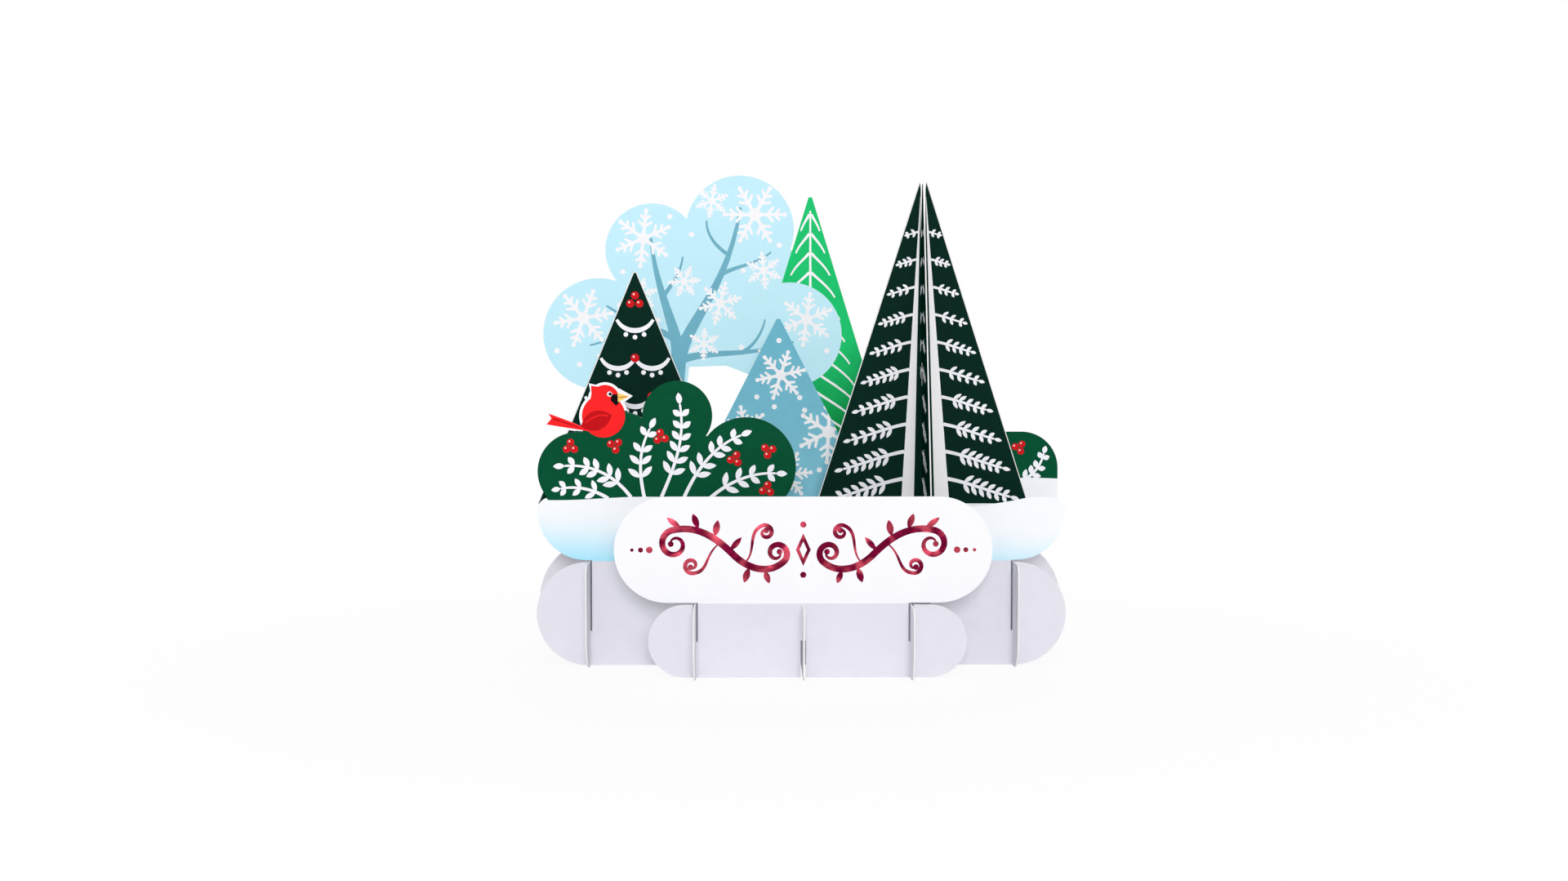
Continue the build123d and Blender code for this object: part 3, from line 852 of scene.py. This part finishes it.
def ease(value, start, end):
    """Smooth step from 0 at start to 1 at end."""
    t = min(max((value - start) / (end - start), 0.0), 1.0)
    return t * t * (3 - 2 * t)


def past(value, start):
    """How far a place lies past a line, squared."""
    return max(value - start, 0.0) ** 2


def buckle(x, z, top):
    """Shallow waves of a base strip, to and fro between the slots that hold it still."""
    for k, (start, end) in enumerate(zip(SLOT_PLACES, SLOT_PLACES[1:])):
        if start < x < end and z < top:
            wave = math.sin(math.pi * (x - start) / (end - start)) ** 2 * math.sin(math.pi * z / top)
            return BUCKLE_SHARE * (end - start) * wave * (-1) ** (k + 1)
    return 0.0


def banner_bend(x, z):
    curl = BANNER_CURL * past(abs(x), BANNER_FLAT_HALF) * ease(z, *BANNER_NECK)
    return buckle(x, z, FRONT_BASE_TOP) - curl


def snow_bend(x, z):
    curl = SNOW_CURL * past(abs(x), PANEL_FLAT_HALF)
    lean = SNOW_LEAN * past(z, PANEL_FLAT_TOP) * (1 + LEAN_WAVE * math.sin(x * LEAN_PACE))
    return buckle(x, z, SNOW_BASE_TOP) + curl + lean


def forest_bend(x, z):
    curl = FOREST_CURL * past(abs(x), PANEL_FLAT_HALF) * (1 - ease(z, *FOREST_BAND))
    return curl + FOREST_LEAN * past(z, PANEL_FLAT_TOP) * ease(-x, *FOREST_LEAN_SIDE)


def frost_bend(x, z):
    curl = FROST_CURL * past(abs(x), PANEL_FLAT_HALF)
    return curl - FROST_LEAN * past(z, PANEL_FLAT_TOP) * ease(-x, *FROST_LEAN_SIDE)


def crown_bend(x, z):
    curl = CROWN_CURL * past(-x, CROWN_FLAT_HALF) * ease(z, *CROWN_NECK)
    return CROWN_LEAN * past(z, CROWN_FLAT_TOP) - curl


sheet("front_banner_panel", banner_art(), "white", banner_bend)
sheet("snow_bush_panel", bush_art(), "snow", snow_bend)
sheet("dark_trees_panel", forest_art(), "edge", forest_bend)
sheet("frost_tree_panel", frost_art(), "frost", frost_bend)
sheet("crown_tree_panel", crown_art(), "crown", crown_bend)
sheet("tree_wing_panel", wing_art(), "matt", across=1, two_sided=True)

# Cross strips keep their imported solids: faces that look squarely across are grey, and the rest are cut edges
STRIPS = ("left_outer_strip", "left_inner_strip", "centre_strip", "right_inner_strip", "right_outer_strip")
SQUARELY = 0.9
for name in STRIPS:
    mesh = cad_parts[name].data
    mesh.materials.clear()
    mesh.materials.append(INK["grey"])
    mesh.materials.append(INK["edge"])
    for face in mesh.polygons:
        face.material_index = 0 if abs(face.normal.x) > SQUARELY else 1


# Stage: floor and world are seen as white, and the floor keeps the object's shadow

FLOOR_SIZE = 12.0
FLOOR_COLOUR = (0.92, 0.92, 0.92, 1.0)
FLOOR_ROUGHNESS, FLOOR_GLOSS = 0.7, 0.1
# Distances from the middle, in metres, between which the floor turns white, and its shares of white there
FLOOR_FADE, FLOOR_WHITENESS = (0.09, 0.24), (0.90, 1.0)
AMBIENT_COLOUR, AMBIENT_STRENGTH = (0.96, 0.96, 1.0, 1.0), 0.36
BACKDROP_COLOUR = (1.0, 1.0, 1.0, 1.0)
# Name, place, width in metres and power in watts of each lamp, and the point that they are aimed at
LAMPS = (
    ("front", (0.04, -1.90, 0.50), 0.6, 15.9),
    ("top", (0.0, -0.20, 1.60), 1.2, 8.9),
    ("back", (0.20, 1.80, 0.70), 1.5, 9.0),
)
LAMP_AIM = (0.0, 0.0, 0.06)
# Camera at the photograph's viewing angle: sensor and lens in millimetres, place in metres, turns in degrees
SENSOR_WIDTH, LENS = 36.0, 43.6
CAMERA_PLACE = (-0.010, -0.520, 0.0806)
CAMERA_DOWN, CAMERA_RIGHT = 2.42, 0.61

scene = bpy.context.scene
scene.view_settings.view_transform = "Standard"


def seen_directly(nodes, links):
    """1 for rays that show the background: from the camera, in a reflection or through glass."""
    path = nodes.new("ShaderNodeLightPath")
    value = path.outputs["Is Camera Ray"]
    for kind in ("Is Glossy Ray", "Is Transmission Ray"):
        larger = nodes.new("ShaderNodeMath")
        larger.operation = "MAXIMUM"
        links.new(value, larger.inputs[0])
        links.new(path.outputs[kind], larger.inputs[1])
        value = larger.outputs[0]
    return value


def blend(nodes, links, share, lit, white, output):
    """Shows a share of the white shader over the lit one."""
    mix = nodes.new("ShaderNodeMixShader")
    links.new(share, mix.inputs["Fac"])
    links.new(lit.outputs[0], mix.inputs[1])
    links.new(white.outputs[0], mix.inputs[2])
    links.new(mix.outputs[0], nodes[output].inputs["Surface"])


def floor_material():
    """Pale paint that takes the shadow near the object and is plain white further out."""
    mat, nodes, links = new_material("floor_white")
    paint = nodes["Principled BSDF"]
    paint.inputs["Base Color"].default_value = FLOOR_COLOUR
    paint.inputs["Roughness"].default_value = FLOOR_ROUGHNESS
    paint.inputs["Specular IOR Level"].default_value = FLOOR_GLOSS
    distance = nodes.new("ShaderNodeVectorMath")
    distance.operation = "LENGTH"
    links.new(nodes.new("ShaderNodeTexCoord").outputs["Object"], distance.inputs[0])
    share = nodes.new("ShaderNodeMath")
    share.operation = "MULTIPLY"
    links.new(seen_directly(nodes, links), share.inputs[0])
    links.new(remap(nodes, links, distance.outputs["Value"], FLOOR_FADE, FLOOR_WHITENESS), share.inputs[1])
    blend(nodes, links, share.outputs[0], paint, nodes.new("ShaderNodeEmission"), "Material Output")
    return mat


def add_floor():
    bpy.ops.mesh.primitive_plane_add(size=FLOOR_SIZE)
    floor = bpy.context.object
    floor.name = "floor"
    floor.data.materials.append(floor_material())


def add_world():
    world = bpy.data.worlds.new("studio")
    scene.world = world
    world.use_nodes = True
    nodes, links = world.node_tree.nodes, world.node_tree.links
    ambient = nodes["Background"]
    ambient.inputs["Color"].default_value = AMBIENT_COLOUR
    ambient.inputs["Strength"].default_value = AMBIENT_STRENGTH
    backdrop = nodes.new("ShaderNodeBackground")
    backdrop.inputs["Color"].default_value = BACKDROP_COLOUR
    blend(nodes, links, seen_directly(nodes, links), ambient, backdrop, "World Output")


def add_lamp(name, place, width, power):
    """Round soft box aimed at the middle of the object."""
    data = bpy.data.lights.new(name, "AREA")
    data.shape = "DISK"
    data.size = width
    data.energy = power
    light = bpy.data.objects.new(name, data)
    light.location = place
    light.rotation_euler = (Vector(LAMP_AIM) - light.location).to_track_quat("-Z", "Y").to_euler()
    scene.collection.objects.link(light)


def add_camera():
    data = bpy.data.cameras.new("camera")
    data.sensor_width = SENSOR_WIDTH
    data.lens = LENS
    camera = bpy.data.objects.new("camera", data)
    camera.location = CAMERA_PLACE
    camera.rotation_euler = (math.radians(90 - CAMERA_DOWN), 0, math.radians(-CAMERA_RIGHT))
    scene.collection.objects.link(camera)
    scene.camera = camera


add_floor()
add_world()
for name, place, width, power in LAMPS:
    add_lamp(name, place, width, power)
add_camera()
